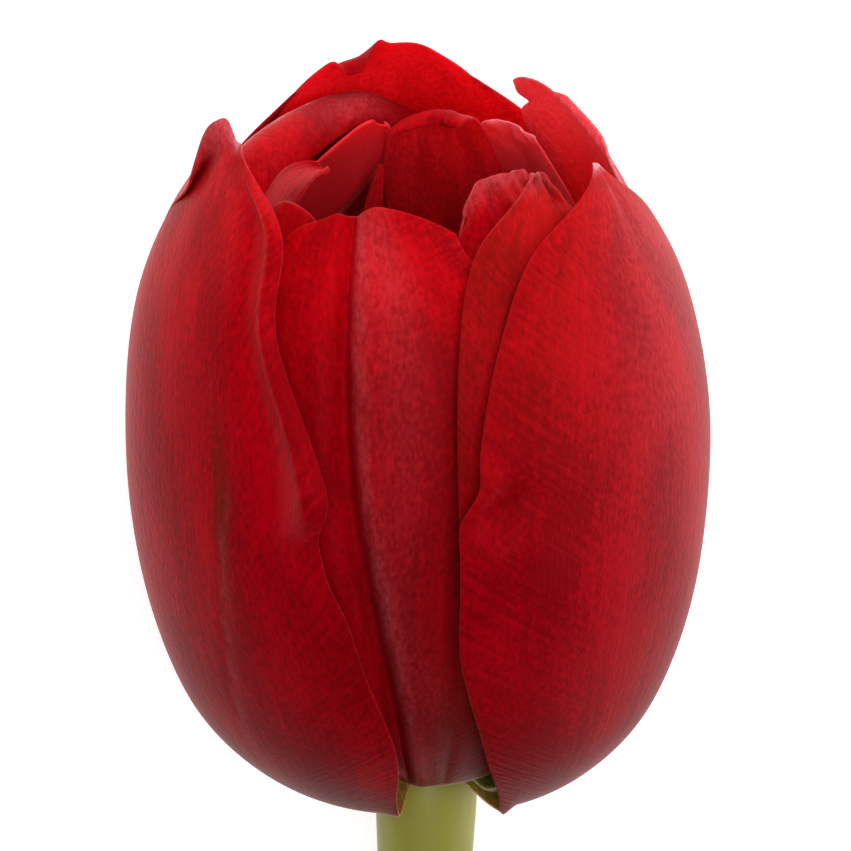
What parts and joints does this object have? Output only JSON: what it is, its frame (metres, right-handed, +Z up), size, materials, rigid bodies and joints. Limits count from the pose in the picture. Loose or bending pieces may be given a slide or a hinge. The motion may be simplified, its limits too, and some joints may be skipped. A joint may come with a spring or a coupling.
{
  "type": "double tulip, picked",
  "caption": "Picked double tulip lying down: a full goblet of overlapping smooth-edged red petals round a hidden heart, on a bare, gently curved green stem.",
  "frame": {"origin": "middle of the small flat under the back petal, on the surface that the flower lies on", "axes": "+Z up from the surface, +Y along the flower from the cut stem to the tip of the bloom, +X to the bloom's right seen from above"},
  "size_m": [0.0522, 0.1716, 0.052],
  "materials": {
    "petal": "satin living petal, deep red with fine lengthwise veins",
    "stem": "smooth waxy green stalk",
    "pistil": "smooth pale green",
    "stamen": "dull purple-black, powdery"
  },
  "bodies": {
    "root": {"outer_petal_left": "petal", "outer_petal_right": "petal", "outer_petal_back": "petal", "second_petal_front": "petal", "second_petal_back_left": "petal", "second_petal_back_right": "petal", "third_petal_front_right": "petal", "third_petal_left": "petal", "third_petal_back": "petal", "inner_petal_front_right": "petal", "inner_petal_left": "petal", "inner_petal_back_left": "petal", "inner_petal_back_right": "petal", "heart_petal_back": "petal", "heart_petal_left": "petal", "heart_petal_right": "petal", "stem": "stem", "pistil": "pistil", "stamens": "stamen"}
  },
  "joints": []
}
